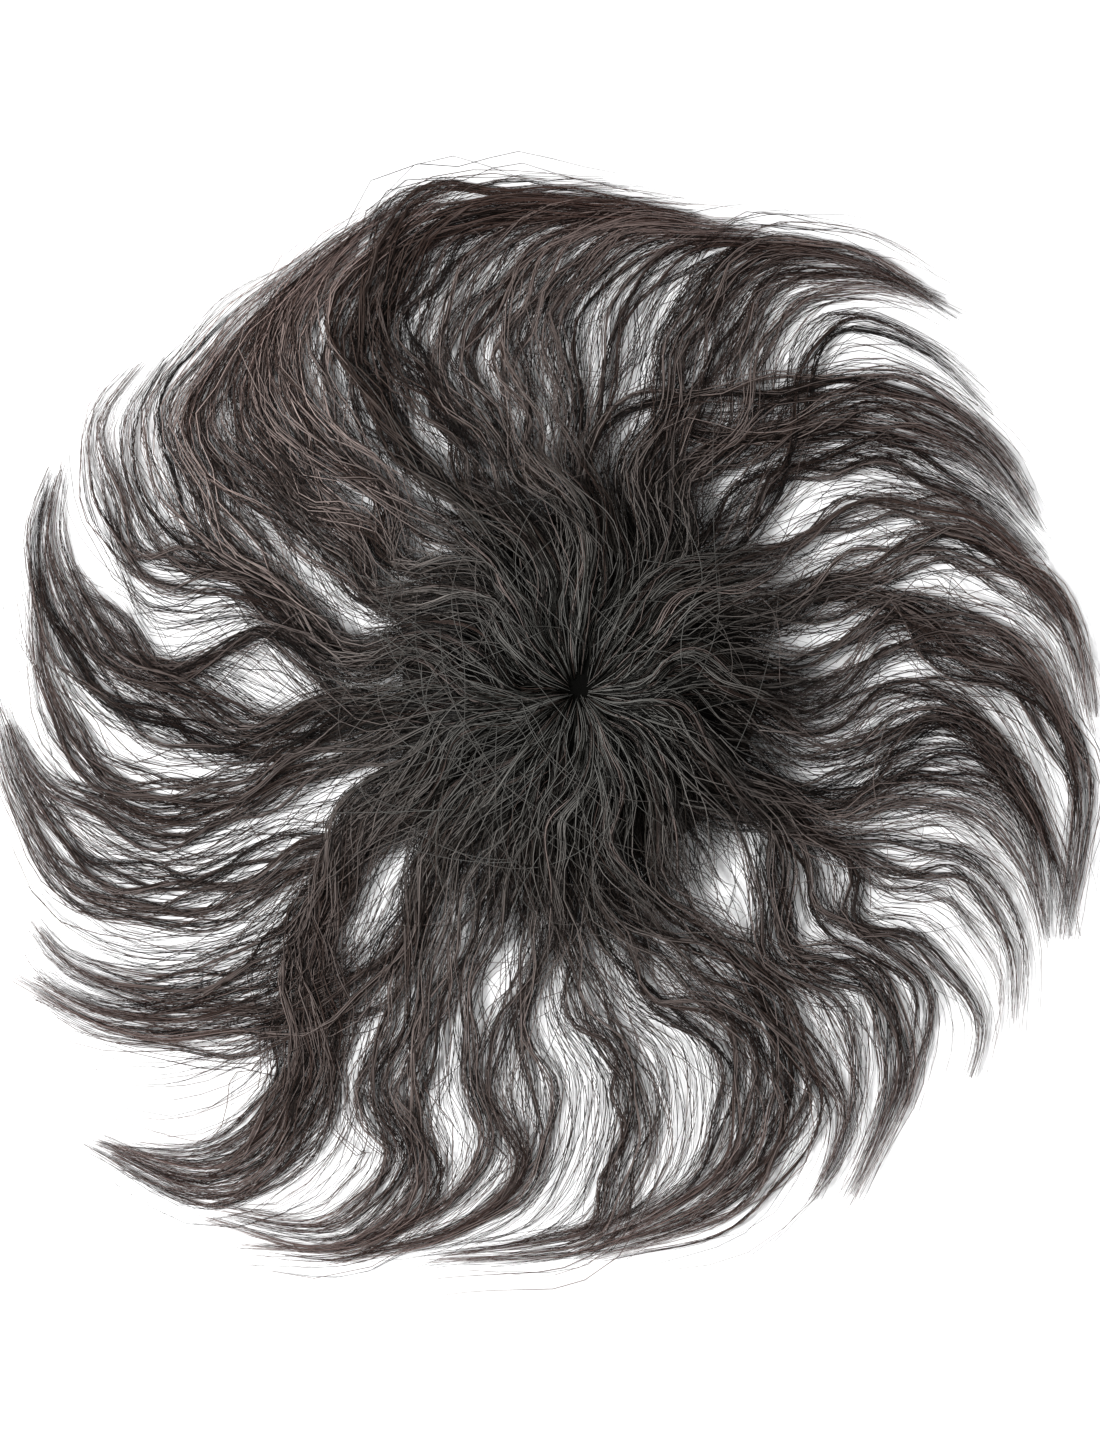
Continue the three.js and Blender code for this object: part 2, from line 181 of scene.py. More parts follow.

# Locks that lie over the crown from the whorl outwards, in the same columns, clockwise by their tips. lie is
# how high a lock lies in the depth of the hair, and it also sets the lock's painted shade and highlight,
# darker the deeper it lies.
CROWN_LOCKS = (
    CrownLock("crown_ne", (350, 3.5), (26, 18), (37, 31), (40, 43), (36, 57), (26, 90), 13, 0.94),
    CrownLock("crown_low_e", (352, 6), (356, 22), (3, 36), (5, 50), (2, 64), (1, 98), 15, 0.82),
    CrownLock("crown_e", (345, 4), (9.5, 22), (18, 32), (16.5, 41), (6, 52), (350, 90), 12, 0.9),
    CrownLock("crown_low_se", (318, 8), (324, 22), (320, 36), (317, 50), (321, 66), (329, 96), 14, 0.8),
    CrownLock("crown_ese", (325, 4), (345, 15), (350, 26), (348, 35), (338, 45), (322, 82), 12, 0.93),
    CrownLock("crown_se", (300, 3.5), (317, 15), (325, 26.5), (318, 38), (305, 52), (295, 82), 13, 0.88),
    CrownLock("crown_sse", (280, 3.5), (298, 19), (293.6, 31), (286, 45), (282, 58), (291, 96), 12, 0.9),
    CrownLock("crown_s", (256, 3), (284, 15), (274, 25), (264, 36), (256, 50), (264, 94), 13, 0.95),
    CrownLock("crown_ssw", (212, 4), (244, 20), (255, 33.5), (252, 47), (249, 60), (251, 102), 13, 0.84),
    CrownLock("crown_sw", (228, 4.5), (239, 21), (229, 38), (225, 56), (226, 74), (230, 104), 14, 0.88),
    CrownLock("crown_wsw", (214, 4.5), (199, 21), (197.5, 37), (202, 48.5), (210, 60), (216, 98), 13, 0.87),
    CrownLock("crown_west", (206, 6), (196, 26), (192, 44), (190, 60), (188, 76), (190, 98), 12, 0.82),
    CrownLock("crown_roll", (203, 8), (191, 29), (183, 40), (173, 46), (167, 56), (174, 86), 10, 0.85),
    CrownLock("crown_wnw", (196, 6), (180, 26), (163, 33), (156, 43), (157, 55), (168, 86), 11, 0.86),
    CrownLock("crown_w", (186, 5), (159, 22), (143, 34), (137, 44), (144, 55), (158, 84), 11, 0.87),
    CrownLock("crown_nw", (158, 5), (132, 25), (128.5, 36), (127, 46), (123, 56), (130, 84), 13, 0.84),
    CrownLock("crown_nnw", (136, 6), (115, 26), (109, 37), (108, 49), (109, 62), (119, 88), 13, 0.88),
    CrownLock("crown_n", (106, 6.5), (97, 25), (90, 35), (85.5, 45), (88, 56), (101, 92), 13, 0.93),
    CrownLock("crown_nne", (64, 6.5), (79, 26), (75, 37), (75, 48), (80, 60), (90, 96), 13, 0.84),
    CrownLock("crown_low_ne", (60, 10), (58, 28), (54, 46), (58, 66), (66, 82), (70, 103), 14, 0.76),
    CrownLock("crown_ene", (30, 6), (58.5, 26), (56, 39), (51, 51), (44, 62), (32, 92), 13, 0.9),
)


def smooth(value, low, high):
    """Smooth step from 0 at low to 1 at high."""
    t = np.clip((value - low) / (high - low), 0, 1)
    return t * t * (3 - 2 * t)


def polar(station):
    """A station as a point in the layout plane."""
    angle, out = station
    return np.array((out * math.cos(math.radians(angle)), out * math.sin(math.radians(angle))))


def smooth_path(points, count):
    """Centripetal Catmull-Rom curve through points, as count points spaced evenly along it."""
    p = np.asarray(points, float)
    gap = np.sqrt(np.linalg.norm(np.diff(p, axis=0), axis=1))
    knot = np.concatenate(([-gap[0]], [0], np.cumsum(gap), [gap.sum() + gap[-1]]))
    p = np.vstack((2 * p[0] - p[1], p, 2 * p[-1] - p[-2]))
    u = np.linspace(0, knot[-2], LINE_STEPS)
    i = np.clip(np.searchsorted(knot, u, side="right") - 1, 1, len(p) - 3)
    t0, t1, t2, t3 = (knot[i + k][:, None] for k in (-1, 0, 1, 2))
    p0, p1, p2, p3 = (p[i + k] for k in (-1, 0, 1, 2))
    u = u[:, None]
    a1 = (t1 - u) / (t1 - t0) * p0 + (u - t0) / (t1 - t0) * p1
    a2 = (t2 - u) / (t2 - t1) * p1 + (u - t1) / (t2 - t1) * p2
    a3 = (t3 - u) / (t3 - t2) * p2 + (u - t2) / (t3 - t2) * p3
    b1 = (t2 - u) / (t2 - t0) * a1 + (u - t0) / (t2 - t0) * a2
    b2 = (t3 - u) / (t3 - t1) * a2 + (u - t1) / (t3 - t1) * a3
    fine = (t2 - u) / (t2 - t1) * b1 + (u - t1) / (t2 - t1) * b2
    run = np.concatenate(([0], np.cumsum(np.linalg.norm(np.diff(fine, axis=0), axis=1))))
    even = np.linspace(0, run[-1], count)
    return np.stack([np.interp(even, run, fine[:, k]) for k in (0, 1)], axis=1)


def crown_swing(root, out):
    """Angle of the crown's flow at a distance from the whorl, for hair that leaves the base at root."""
    total = weight = 0.0
    for lock in CROWN_LOCKS:
        stations = (lock.root, lock.lift, lock.wave, lock.bend, lock.sweep, lock.tip)
        angles = np.degrees(np.unwrap(np.radians([s[0] for s in stations])))
        reach = [s[1] for s in stations]
        leave = np.interp(LEAVE, reach, angles)
        away = (leave - root + 180) % 360 - 180
        near = math.exp(-((away / FELT) ** 2))
        total += near * (np.interp(out, reach, angles) - leave)
        weight += near
    return root + total / weight


def rim_path(lock, count):
    """Middle line of a long lock, from the whorl over the crown to its tip."""
    start = [(crown_swing(lock.root, out), out) for out in FOLLOW]
    stations = [*start, (lock.root, LEAVE), lock.lift, lock.wave, lock.bend, lock.sweep, lock.tip]
    return smooth_path([polar(s) for s in stations], count)


def crown_path(lock, count):
    """Middle line of a crown lock, from the whorl outwards."""
    root = (lock.root[0], HOLE * lock.root[1])
    stations = [root, lock.lift, lock.wave, lock.bend, lock.sweep, lock.tip]
    return smooth_path([polar(s) for s in stations], count)


def sideways(path):
    """Unit vectors across a plan path or a stack of plan paths."""
    tangent = np.gradient(path, axis=-2)
    tangent /= np.linalg.norm(tangent, axis=-1, keepdims=True) + 1e-9
    return np.stack((-tangent[..., 1], tangent[..., 0]), axis=-1)


def rim_half(lock, middle):
    """Half width of a long lock along its middle line: narrow at the whorl, then full, then a tip."""
    along = np.linspace(0, 1, len(middle))
    out = np.linalg.norm(middle, axis=1)
    full = np.interp(out, GATHER_OUT, np.array(GATHER) * (1, 1, lock.tight, lock.tight, 1))
    return lock.wide / 2 * full * (1 - 0.76 * smooth(along, 0.66, 1.04))


def resample(paths, start, end, points, crowd=0.42):
    """Each path cut to its own share of the whole, with points that lie closer together near its root."""
    strands, count, _ = paths.shape
    step = np.linspace(0, 1, points)
    share = start[:, None] + (end - start)[:, None] * (step * (1 - crowd + crowd * step))[None, :]
    place = share * (count - 1)
    low = np.clip(np.floor(place).astype(int), 0, count - 2)
    part = (place - low)[..., None]
    row = np.arange(strands)[:, None]
    return paths[row, low] * (1 - part) + paths[row, low + 1] * part, share


def add_piece(name, mesh, material, node=None):
    """An object for a finished mesh, on the topper's one body."""
    mesh.shade_smooth()
    mesh.materials.append(material)
    piece = bpy.data.objects.new(name, mesh)
    bpy.context.collection.objects.link(piece)
    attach(piece, "root")
    if node:
        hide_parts(node)
    return piece


def paint(mesh, label, values):
    """Gives each point of a mesh its own three values."""
    layer = mesh.attributes.new(label, "FLOAT_COLOR", "POINT")
    rgba = np.ones((len(mesh.vertices), 4), np.float32)
    rgba[:, :3] = values
    layer.data.foreach_set("color", rgba.ravel())


def spun(profile, steps):
    """A closed shape spun about the whorl from a profile of (distance, height) pairs in millimetres."""
    bm = bmesh.new()
    corners = [bm.verts.new((out, 0.0, up)) for out, up in profile]
    edges = [bm.edges.new(pair) for pair in zip(corners, corners[1:])]
    bmesh.ops.spin(
        bm,
        geom=corners + edges,
        cent=(0, 0, 0),
        axis=(0, 0, 1),
        angle=2 * math.pi,
        steps=steps,
        use_merge=True,
    )
    bmesh.ops.remove_doubles(bm, verts=bm.verts, dist=WELD)
    bmesh.ops.recalc_face_normals(bm, faces=bm.faces)
    return bm


def spun_mesh(name, bm):
    """The mesh of a spun shape, in metres and over the whorl."""
    bmesh.ops.scale(bm, verts=bm.verts, vec=(MM, MM, MM))
    bmesh.ops.translate(bm, verts=bm.verts, vec=(*WHORL, 0))
    mesh = bpy.data.meshes.new(name)
    bm.to_mesh(mesh)
    bm.free()
    return mesh


def strand_mesh(name, paths, half):
    """One mesh of closed three-sided strands along stacks of paths, joined as arrays."""
    strands, count, _ = paths.shape
    tangent = np.gradient(paths, axis=1)
    tangent /= np.linalg.norm(tangent, axis=2, keepdims=True) + 1e-9
    side = np.cross(tangent, (0.0, 0.0, 1.0))
    side /= np.linalg.norm(side, axis=2, keepdims=True) + 1e-9
    up = np.cross(side, tangent)
    turn = (np.pi / 2 + np.arange(3) * 2 * np.pi / 3)[None, None, :, None]
    ring = np.cos(turn) * side[:, :, None] + np.sin(turn) * up[:, :, None]
    co = (paths[:, :, None] + half[:, :, None, None] * ring).reshape(-1, 3)
    index = np.arange(len(co)).reshape(strands, count, 3)
    after = np.roll(index, -1, axis=2)
    walls = np.stack((index[:, :-1], index[:, 1:], after[:, 1:], after[:, :-1]), axis=-1).reshape(-1, 4)
    loops = np.concatenate((walls.ravel(), index[:, 0].ravel(), index[:, -1, ::-1].ravel()))
    sizes = np.repeat((4, 3), (len(walls), 2 * strands))
    mesh = bpy.data.meshes.new(name)
    mesh.vertices.add(len(co))
    placed = co * MM + np.array((*WHORL, 0.0))
    mesh.vertices.foreach_set("co", placed.astype(np.float32).ravel())
    mesh.loops.add(len(loops))
    mesh.loops.foreach_set("vertex_index", loops.astype(np.int32))
    mesh.polygons.add(len(sizes))
    mesh.polygons.foreach_set("loop_start", np.concatenate(([0], np.cumsum(sizes)[:-1])).astype(np.int32))
    mesh.update(calc_edges=True)
    return mesh


def hair_tone(along, shade, warm):
    """Colour along a strand: ash brown at the root, dark brown in the middle, reddish at the tip."""
    look = bpy.context.scene.topper_hair
    root, middle, tip = (np.array(c[:3]) for c in (look.root_colour, look.middle_colour, look.tip_colour))
    a = along[..., None]
    tone = root + (middle - root) * smooth(a, 0.05, 0.45)
    tone = tone + (tip - middle) * smooth(a, 0.55, 1.0) * warm[..., None]
    grey = tone.mean(axis=-1, keepdims=True)
    pale = PALE * smooth(shade, 1, 2.5)[..., None]
    return (tone + (grey - tone) * pale) * shade[..., None]


def lay(plan, layer, lift=0.0):
    """Gives plan paths their height: layer is a strand's place between what it lies on and the hair's top."""
    out = np.linalg.norm(plan, axis=2)
    low = np.interp(out, LOW_OUT, LOW_UP)
    deep = np.interp(out, TOP_OUT, TOP_UP) - low
    return np.dstack((plan, low + np.maximum(deep * layer[:, None] + lift, 0.1)))


def waves(total, run, size, reach, rng, phase=None):
    """Waves of total strands along their run in millimetres; size and wave length are ranges."""
    high = rng.uniform(*size, (total, 1))
    long = rng.uniform(*reach, (total, 1))
    phase = rng.uniform(0, 2 * np.pi, (total, 1)) if phase is None else phase[:, None]
    turn = phase + 2 * np.pi * run[None, :] / long
    return high * np.sin(turn), high * np.cos(turn)


def between_paths(first, second, share, swing):
    """Plan paths at shares of the way from one path to another, which swing to either side."""
    plan = first[None] * (1 - share) + second[None] * share
    return plan + swing[..., None] * sideways(plan)


def walk(start, out, heading, pace):
    """Plan paths that set out at an angle and distance from the whorl and step along their headings."""
    x = (out * np.cos(start))[:, None] + np.cumsum(pace * np.cos(heading), axis=1)
    y = (out * np.sin(start))[:, None] + np.cumsum(pace * np.sin(heading), axis=1)
    return np.dstack((x, y))


def lock_strands(middle, half, total, wisps, flow, rng):
    """Strands of one lock, most of them in wavy wisps that open and close along their length.

    Gives plan paths, rise over the lock's height, own wisp, place across the lock and share at the end.
    """
    along = np.linspace(0, 1, len(middle))
    run = along * np.linalg.norm(np.diff(middle, axis=0), axis=1).sum()
    out = np.linalg.norm(middle, axis=1)
    open_out = smooth(out, 3, 28)
    wavy = open_out * (1 - 0.88 * smooth(along, *flow.fade))
    draw = 1 - 0.5 * smooth(along, 0.6, 1.0)
    # Wisps sit side by side across the lock, and the strands of each lie in a bundle about it
    seat = (np.arange(wisps) + 0.5) / wisps * 2 - 1 + rng.normal(0, 0.5 / wisps, wisps)
    phase = rng.uniform(0, 2 * np.pi) + rng.normal(0, flow.apart, wisps)
    sway, rise = waves(wisps, run, flow.size, flow.reach, rng, phase)
    own = rng.integers(0, wisps, total)
    loose = rng.random(total) < flow.loose
    thick = rng.uniform(0.4, 1.3, wisps)[own]
    bundle = thick * np.clip(rng.normal(0, 1, total), -2.2, 2.2)
    pinch = 0.5 + 0.5 * np.abs(waves(wisps, run, (1, 1), (50, 90), rng)[0])
    across = seat[own][:, None] * half[None, :] + bundle[:, None] * (pinch[own] * draw * open_out)
    across += sway[own] * wavy
    lift = rise[own] * 0.55 * wavy
    # Loose strands lie further off and wander more
    astray = np.where(loose, np.clip(rng.normal(0, 1, total), -1.5, 1.5), 0)[:, None]
    gather = np.interp(out, GATHER_OUT, GATHER)
    across += astray * (0.5 * half + 3.6 * gather * draw)
    curl, bob = waves(total, run, (0.0, 0.3), (30, 60), rng)
    roam, rove = waves(total, run, (0.3, 2.4), (42, 80), rng)
    calm = open_out * (1 - 0.6 * smooth(along, 0.6, 0.9))
    across += (curl + np.where(loose, 1.0, 0.12)[:, None] * roam) * calm
    lift = lift + (0.5 * bob + np.where(loose, 0.4, 0.1)[:, None] * rove) * calm
    # Tips leave their wisp
    leave = np.where(loose, rng.normal(1.2, 3.2, total), rng.normal(0.3, 0.9, total))
    across += leave[:, None] * smooth(along, 0.55, 1.0)[None, :] ** 1.3
    plan = middle[None] + across[..., None] * sideways(middle)[None]
    end = rng.uniform(0.94, 1.0, wisps)[own] * (1 - 0.24 * rng.random(total) ** 3)
    return plan, lift, own, np.clip(seat[own], -1, 1), end


def strand_piece(name, groups, material, points, node=None):
    """Joins groups of (paths, along, shade, warm, radius) into one piece of strands."""
    paths = np.concatenate([g[0] for g in groups])
    along = np.concatenate([g[1] for g in groups])
    shade = np.concatenate([np.broadcast_to(g[2].reshape(len(g[2]), -1), g[1].shape) for g in groups])
    warm = np.concatenate([g[3] for g in groups])
    radius = np.concatenate([g[4] for g in groups])
    run = np.linspace(0, 1, points)[None, :]
    half = radius[:, None] * (1 - 0.6 * smooth(run, 0.68, 1))
    mesh = strand_mesh(name, paths, half)
    tone = hair_tone(along, shade, np.repeat(warm[:, None], points, 1))
    paint(mesh, "hair_tone", np.repeat(tone.reshape(-1, 3), 3, axis=0))
    add_piece(name, mesh, material, node)


def toned(total, light, rng):
    """Shades of total strands against the hair's own colour: dark ones, with a share of light ones."""
    chosen = rng.random(total) < light
    return np.where(chosen, rng.uniform(*LIGHT_SHADES, total), rng.uniform(*DARK_SHADES, total))


def radius_of(look):
    """Half a strand's width in millimetres."""
    return look.strand_width / MM / 2


def thickness(shade, rng):
    """How thick each strand is against the usual one: light strands stand out from the dark ones."""
    return (0.64 + 0.15 * np.clip(shade, 0, 3)) * rng.uniform(0.85, 1.15, len(shade))


def new_material(name):
    """A material, its node tree and its shader."""
    material = bpy.data.materials.new(name)
    material.use_nodes = True
    tree = material.node_tree
    return material, tree, tree.nodes["Principled BSDF"]


def hair_material(name, roughness, gloss):
    """Hair with its colour from the strand, varied by noise; gives the material, the noise and its range."""
    material, tree, shader = new_material(name)
    shader.inputs["Roughness"].default_value = roughness
    shader.inputs["Specular IOR Level"].default_value = gloss
    tone = tree.nodes.new("ShaderNodeAttribute")
    tone.attribute_name = "hair_tone"
    noise = tree.nodes.new("ShaderNodeTexNoise")
    noise.inputs["Detail"].default_value = 4
    vary = tree.nodes.new("ShaderNodeMapRange")
    mix = tree.nodes.new("ShaderNodeMix")
    mix.data_type = "RGBA"
    mix.blend_type = "MULTIPLY"
    mix.inputs["Factor"].default_value = 1
    tree.links.new(noise.outputs["Fac"], vary.inputs["Value"])
    tree.links.new(tone.outputs["Color"], mix.inputs["A"])
    tree.links.new(vary.outputs["Result"], mix.inputs["B"])
    tree.links.new(mix.outputs["Result"], shader.inputs["Base Color"])
    return material, noise, vary


def strand_material(look):
    """The strands' own material, made once."""
    if "hair_strand" in bpy.data.materials:
        return bpy.data.materials["hair_strand"]
    material, noise, vary = hair_material("hair_strand", look.roughness, look.gloss)
    tree = material.node_tree
    place = tree.nodes.new("ShaderNodeTexCoord")
    tree.links.new(place.outputs["Object"], noise.inputs["Vector"])
    noise.inputs["Scale"].default_value = 70
    vary.inputs["To Min"].default_value = 0.75
    vary.inputs["To Max"].default_value = 1.25
    return material


def colour_setting(label, about, value):
    """A colour in a group of settings."""
    return bpy.props.FloatVectorProperty(
        name=label, description=about, subtype="COLOR", size=3, default=value
    )


class HairSettings(bpy.types.PropertyGroup):
    """Colours, number, width and sheen of the strands"""

    root_colour: colour_setting("Root colour", "Hair at the crown", (0.031, 0.030, 0.026))
    middle_colour: colour_setting("Middle colour", "Hair half way", (0.045, 0.0292, 0.024))
    tip_colour: colour_setting("Tip colour", "Hair at the tips", (0.064, 0.0345, 0.0275))
    strand_width: bpy.props.FloatProperty(
        name="Strand width", description="Width of one strand", default=0.4 * MM, unit="LENGTH"
    )
    lock_strands: bpy.props.IntProperty(
        name="Strands per lock", description="Strands in a full lock of middle width", default=92
    )
    crown_strands: bpy.props.IntProperty(
        name="Strands per crown lock", description="Strands in each lock over the crown", default=74
    )
    veil_strands: bpy.props.IntProperty(
        name="Veil strands", description="Loose strands after a lock with a veil of 1", default=46
    )
    roughness: bpy.props.FloatProperty(
        name="Roughness", description="Softness of the hair's sheen", default=0.38, subtype="FACTOR"
    )
    gloss: bpy.props.FloatProperty(
        name="Gloss", description="Strength of the hair's sheen", default=0.1, subtype="FACTOR"
    )


class BaseSettings(bpy.types.PropertyGroup):
    """Colours and sizes of the net cap and the clips"""

    net_colour: colour_setting("Net colour", "Threads of the net", (0.05, 0.042, 0.038))
    wall: bpy.props.FloatProperty(
        name="Net wall", description="Thickness of the net cap", default=1.4 * MM, unit="LENGTH"
    )
    ribbon: bpy.props.FloatProperty(
        name="Ribbon width", description="Width of the rim ribbon", default=8 * MM, unit="LENGTH"
    )
    clip_colour: colour_setting("Clip colour", "Lacquer on the clips", (0.02, 0.02, 0.021))


class StageSettings(bpy.types.PropertyGroup):
    """The floor, the light and the camera"""

    floor_colour: colour_setting("Floor colour", "Plain pale floor", (0.9, 0.9, 0.905))
    camera_height: bpy.props.FloatProperty(
        name="Camera height", description="Camera above the floor", default=1.8, unit="LENGTH"
    )
    view_height: bpy.props.FloatProperty(
        name="View height", description="Height of the frame on the floor", default=0.515, unit="LENGTH"
    )
    key_power: bpy.props.FloatProperty(name="Key light", description="Power of the left soft box", default=46)
    fill_power: bpy.props.FloatProperty(
        name="Fill light", description="Power of the right soft box", default=10
    )
    ambient: bpy.props.FloatProperty(
        name="Ambient light", description="Strength of the light from all round", default=0.22
    )


class TOPPER_OT_base(bpy.types.Operator):
    """Build the net cap and finish the comb clips"""

    bl_idname = "topper.base"
    bl_label = "Net Base and Clips"

    # Steps round the cap, points along each side of its section, and millimetres from the rim to its dome
    round_steps = 72
    section_points = 11
    dome_edge = 0.8

    def execute(self, context):
        look = context.scene.topper_base
        profile = self.cap_profile(look.wall / MM, look.ribbon / MM)
        mesh = spun_mesh("net_cap", spun(profile, self.round_steps))
        cap = add_piece("net_cap", mesh, self.net_material(look), "base_cap")
        lacquer = self.clip_material(look)
        for name in ("clip_top", "clip_left", "clip_right"):
            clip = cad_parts[name]
            clip.data.materials.clear()
            clip.data.materials.append(lacquer)
        return {"FINISHED"}

    def cap_profile(self, wall, ribbon):
        """Section of the cap: the inside of its dome, the ribbon round its rim, the outside of its dome."""
        sphere = (CAP_RADIUS**2 + CAP_RISE**2) / (2 * CAP_RISE)
        centre = CAP_RISE - sphere
        inner = sphere - wall
        foot = math.sqrt(inner**2 - (wall - centre) ** 2)
        along = np.linspace(0, foot, self.section_points)
        inside = [(out, centre + math.sqrt(inner**2 - out**2)) for out in along]
        rim = [(CAP_RADIUS - ribbon, wall), (CAP_RADIUS - ribbon, 0), (CAP_RADIUS, 0)]
        along = np.linspace(CAP_RADIUS - self.dome_edge, 0, self.section_points)
        outside = [(out, centre + math.sqrt(sphere**2 - out**2)) for out in along]
        return inside + rim + outside

    def net_material(self, look):
        """Knotted net: crossing threads with darker holes between them."""
        material, tree, shader = new_material("net")
        shader.inputs["Roughness"].default_value = 0.9
        shader.inputs["Specular IOR Level"].default_value = 0.2
        place = tree.nodes.new("ShaderNodeTexCoord")
        heights = []
        for turn in (math.pi / 4, -math.pi / 4):
            mapping = tree.nodes.new("ShaderNodeMapping")
            mapping.inputs["Rotation"].default_value = (0, 0, turn)
            wave = tree.nodes.new("ShaderNodeTexWave")
            wave.inputs["Scale"].default_value = 160
            wave.inputs["Distortion"].default_value = 0.4
            tree.links.new(place.outputs["Object"], mapping.inputs["Vector"])
            tree.links.new(mapping.outputs["Vector"], wave.inputs["Vector"])
            heights.append(wave.outputs["Fac"])
        thread = tree.nodes.new("ShaderNodeMath")
        thread.operation = "MAXIMUM"
        tree.links.new(heights[0], thread.inputs[0])
        tree.links.new(heights[1], thread.inputs[1])
        colour = tree.nodes.new("ShaderNodeValToRGB")
        net = tuple(look.net_colour)
        colour.color_ramp.elements[0].color = (*(0.3 * c for c in net), 1)
        colour.color_ramp.elements[1].color = (*(1.3 * c for c in net), 1)
        bump = tree.nodes.new("ShaderNodeBump")
        bump.inputs["Distance"].default_value = 0.4 * MM
        tree.links.new(thread.outputs["Value"], colour.inputs["Fac"])
        tree.links.new(thread.outputs["Value"], bump.inputs["Height"])
        tree.links.new(colour.outputs["Color"], shader.inputs["Base Color"])
        tree.links.new(bump.outputs["Normal"], shader.inputs["Normal"])
        return material

    def clip_material(self, look):
        """Black lacquered spring steel with faint wear."""
        material, tree, shader = new_material("clip_lacquer")
        shader.inputs["Metallic"].default_value = 0.6
        shader.inputs["Coat Weight"].default_value = 0.4
        place = tree.nodes.new("ShaderNodeTexCoord")
        noise = tree.nodes.new("ShaderNodeTexNoise")
        noise.inputs["Scale"].default_value = 240
        colour = tree.nodes.new("ShaderNodeValToRGB")
        lacquer = tuple(look.clip_colour)
        colour.color_ramp.elements[0].color = (*lacquer, 1)
        colour.color_ramp.elements[1].color = (*(2.2 * c for c in lacquer), 1)
        rough = tree.nodes.new("ShaderNodeMapRange")
        rough.inputs["To Min"].default_value = 0.28
        rough.inputs["To Max"].default_value = 0.5
        tree.links.new(place.outputs["Object"], noise.inputs["Vector"])
        tree.links.new(noise.outputs["Fac"], colour.inputs["Fac"])
        tree.links.new(noise.outputs["Fac"], rough.inputs["Value"])
        tree.links.new(colour.outputs["Color"], shader.inputs["Base Color"])
        tree.links.new(rough.outputs["Result"], shader.inputs["Roughness"])
        return material


